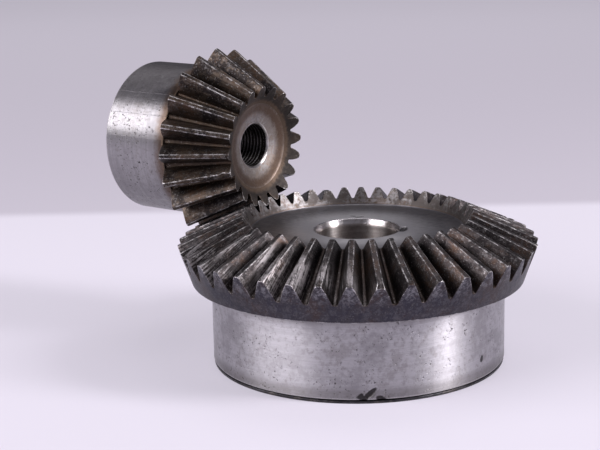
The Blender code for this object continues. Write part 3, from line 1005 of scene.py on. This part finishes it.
NICK_BEARING = -51.5
WHEEL_DENTS = (
    hub_dent(NICK_BEARING - 1.0, 3.0, 44.0, 3.1, 0.85, 0.55),
    hub_dent(NICK_BEARING + 3.2, 1.6, -20.0, 1.5, 0.95, 0.40),
    hub_dent(NICK_BEARING - 4.0, 2.4, 75.0, 1.2, 0.9, 0.25),
    hub_dent(-3.0, 8.0, 80.0, 1.2, 0.9, 0.10),
    face_dent(15.6, 30.0, -8.0, 3.4, 1.3, 1.0),
    face_dent(17.4, 121.0, 35.0, 1.9, 0.55, 0.35),
    face_dent(18.6, 128.0, -25.0, 1.2, 0.5, 0.25),
)
WHEEL_MARKS = (
    Blemish(5, 1.0, 1.1, 0.75),
    Blemish(24, 0.0, 2.2, 1.0),
    Blemish(33, 0.9, 1.0, 0.5),
    Blemish(2, 0.55, 0.7, 0.3),
    Blemish(12, 0.15, 1.2, 0.4),
)
PINION_MARKS = (
    Blemish(14, 0.1, 1.0, 0.45),
    Blemish(3, 0.92, 1.0, 0.5),
    Blemish(8, 0.45, 0.8, 0.3),
)


CAMERA_PLACE = Vector((0.290454, -0.411431, 0.164793))
CAMERA_AIM = Vector((-0.57339, 0.78547, -0.23293))
CAMERA_ROLL = -0.0214
CAMERA_LENS = 90.48


def make_camera():
    """Camera a little above the teeth, with the long lens's narrow view."""
    forward = CAMERA_AIM.normalized()
    level = forward.cross(Vector((0.0, 0.0, 1.0))).normalized()
    upright = level.cross(forward)
    right = level * cos(CAMERA_ROLL) + upright * sin(CAMERA_ROLL)
    up = upright * cos(CAMERA_ROLL) - level * sin(CAMERA_ROLL)
    turn = Matrix((right, up, -forward)).transposed().to_4x4()
    data = bpy.data.cameras.new("camera")
    data.sensor_width = 36.0
    data.lens = CAMERA_LENS
    data.clip_start = 0.01
    data.clip_end = 20.0
    camera = bpy.data.objects.new("camera", data)
    bpy.context.scene.collection.objects.link(camera)
    camera.matrix_world = Matrix.Translation(CAMERA_PLACE) @ turn
    bpy.context.scene.camera = camera


FLOOR_REACH = 8.0
VIEW_DIRECTION = (-0.5896, 0.8077)
TABLE_DEPTH = 0.215
TABLE_COLOUR = (0.40, 0.381, 0.430)
# Painted light: the table glows, brighter towards the back, which lifts the gears' shadows on it.
NEAR_GLOW = 0.32
TABLE_GLOW = 0.365
BEYOND_GLOW = 0.205
FAR_GLOW = 0.37
BEYOND_COLOUR = (0.36, 0.335, 0.385)


def make_floor():
    """Pale table top that turns a little darker beyond a soft line behind the gears, and glows as painted
    light that lifts the gears' shadows on it.
    """
    z = SHIM_LOW.z
    mesh = bpy.data.meshes.new("floor")
    signs = ((-1, -1), (1, -1), (1, 1), (-1, 1))
    mesh.from_pydata([(x * FLOOR_REACH, y * FLOOR_REACH, z) for x, y in signs], [], [(0, 1, 2, 3)])
    s = Shade("floor")
    place = s.node("ShaderNodeTexCoord").outputs["Object"]
    depth = s.toward(place, (*VIEW_DIRECTION, 0.0))
    beyond = s.step(depth, TABLE_DEPTH - 0.006, TABLE_DEPTH + 0.012)
    s.put(s.shader.inputs["Base Color"], s.blend(beyond, TABLE_COLOUR, BEYOND_COLOUR))
    s.shader.inputs["Roughness"].default_value = 0.75
    s.shader.inputs["Specular IOR Level"].default_value = 0.2
    s.put(s.shader.inputs["Emission Color"], (0.93, 0.88, 1.0, 1.0))
    table = s.step(depth, -0.15, TABLE_DEPTH, NEAR_GLOW, TABLE_GLOW)
    past = s.step(depth, TABLE_DEPTH, 1.2, BEYOND_GLOW, FAR_GLOW)
    glow = s.math("ADD", s.times(table, s.math("SUBTRACT", 1.0, beyond)), s.times(past, beyond))
    s.put(s.shader.inputs["Emission Strength"], glow)
    mesh.materials.append(s.material)
    thing = bpy.data.objects.new("floor", mesh)
    bpy.context.scene.collection.objects.link(thing)


CAMERA_TURN = -53.9


def soft_light(name, side, elevation, distance, width, height, power, colour=(1.0, 0.97, 1.0)):
    """Soft box aimed at the gears. side is in degrees to the right of the camera's own direction."""
    bearing = radians(CAMERA_TURN + side)
    aim = (CAD_BOX[0] + CAD_BOX[1]) / 2.0
    rise = radians(elevation)
    away = Vector((cos(bearing) * cos(rise), sin(bearing) * cos(rise), sin(rise)))
    data = bpy.data.lights.new(name, "AREA")
    data.shape = "RECTANGLE"
    data.size = width
    data.size_y = height
    data.energy = power
    data.color = colour
    lamp = bpy.data.objects.new(name, data)
    bpy.context.scene.collection.objects.link(lamp)
    turn = away.to_track_quat("Z", "Y").to_matrix().to_4x4()
    lamp.matrix_world = Matrix.Translation(aim + away * distance) @ turn


def make_light():
    soft_light("left_box", -67.0, 28.0, 1.1, 0.98, 0.62, 13.0)
    soft_light("right_box", 70.0, 27.0, 1.1, 0.22, 0.62, 14.0)
    soft_light("top_box", 165.0, 72.0, 1.3, 1.0, 0.8, 4.0)
    world = bpy.data.worlds.new("room")
    world.use_nodes = True
    background = world.node_tree.nodes["Background"]
    background.inputs["Color"].default_value = (0.92, 0.88, 1.0, 1.0)
    background.inputs["Strength"].default_value = 0.22
    bpy.context.scene.world = world
    bpy.context.scene.view_settings.view_transform = "Standard"


def finish_shim():
    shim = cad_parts["shim_ring"]
    shim.data.materials.clear()
    # Painted shade: the shim ring's near-black colour stands for the shade line under the wheel's hub.
    shim.data.materials.append(steel("shim_painted_shade", "Z", SHIM_PAINTED_SHADE))


make_wheel()
make_pinion()
finish_shim()
make_camera()
make_floor()
make_light()
